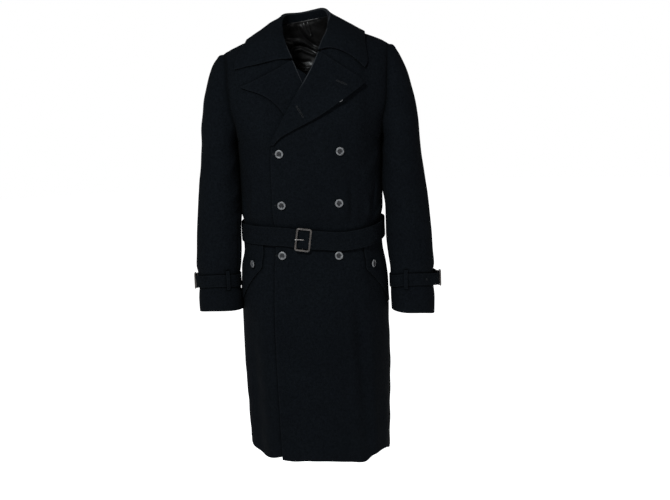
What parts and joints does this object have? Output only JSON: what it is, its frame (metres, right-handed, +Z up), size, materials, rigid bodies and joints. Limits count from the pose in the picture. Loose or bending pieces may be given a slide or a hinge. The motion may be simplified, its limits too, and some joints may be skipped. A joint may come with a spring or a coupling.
{
  "type": "double-breasted trench coat",
  "caption": "Knee-length double-breasted trench coat in black wool cloth, belted at the waist, with wide lapels, buttoned hip flaps and strapped cuffs, filled out as worn.",
  "frame": {"origin": "where the wearer's shoulders and neck hold the coat: mid-way between the two side neck points, at the height where the shoulder seams meet the collar", "axes": "+Z up, -Y to the front, +X to the wearer's left (right in a view from the front)"},
  "size_m": [0.6137, 0.2711, 1.1124],
  "materials": {
    "wool": "matt, slightly felted black wool coating",
    "lining": "smooth black satin lining",
    "horn": "polished black horn-look buttons",
    "leather": "black-brown leather-covered buckles, softly shining"
  },
  "bodies": {
    "root": {"front_left": "wool", "front_right": "wool", "back": "wool", "lining_back": "lining", "collar": "wool", "lapel_left": "wool", "lapel_right": "wool", "sleeve_left": "wool", "sleeve_right": "wool", "belt": "wool", "flap_left": "wool", "flap_right": "wool", "button_top_left": "horn", "button_upper_left": "horn", "button_middle_left": "horn", "button_lower_left": "horn", "button_upper_right": "horn", "button_middle_right": "horn", "button_lower_right": "horn", "button_flap_left": "horn", "button_flap_right": "horn", "belt_buckle": "leather", "belt_prong": "leather", "cuff_strap_left": "wool", "cuff_strap_right": "wool", "cuff_loop_left": "wool", "cuff_loop_right": "wool", "cuff_buckle_left": "leather", "cuff_buckle_right": "leather"}
  },
  "joints": []
}
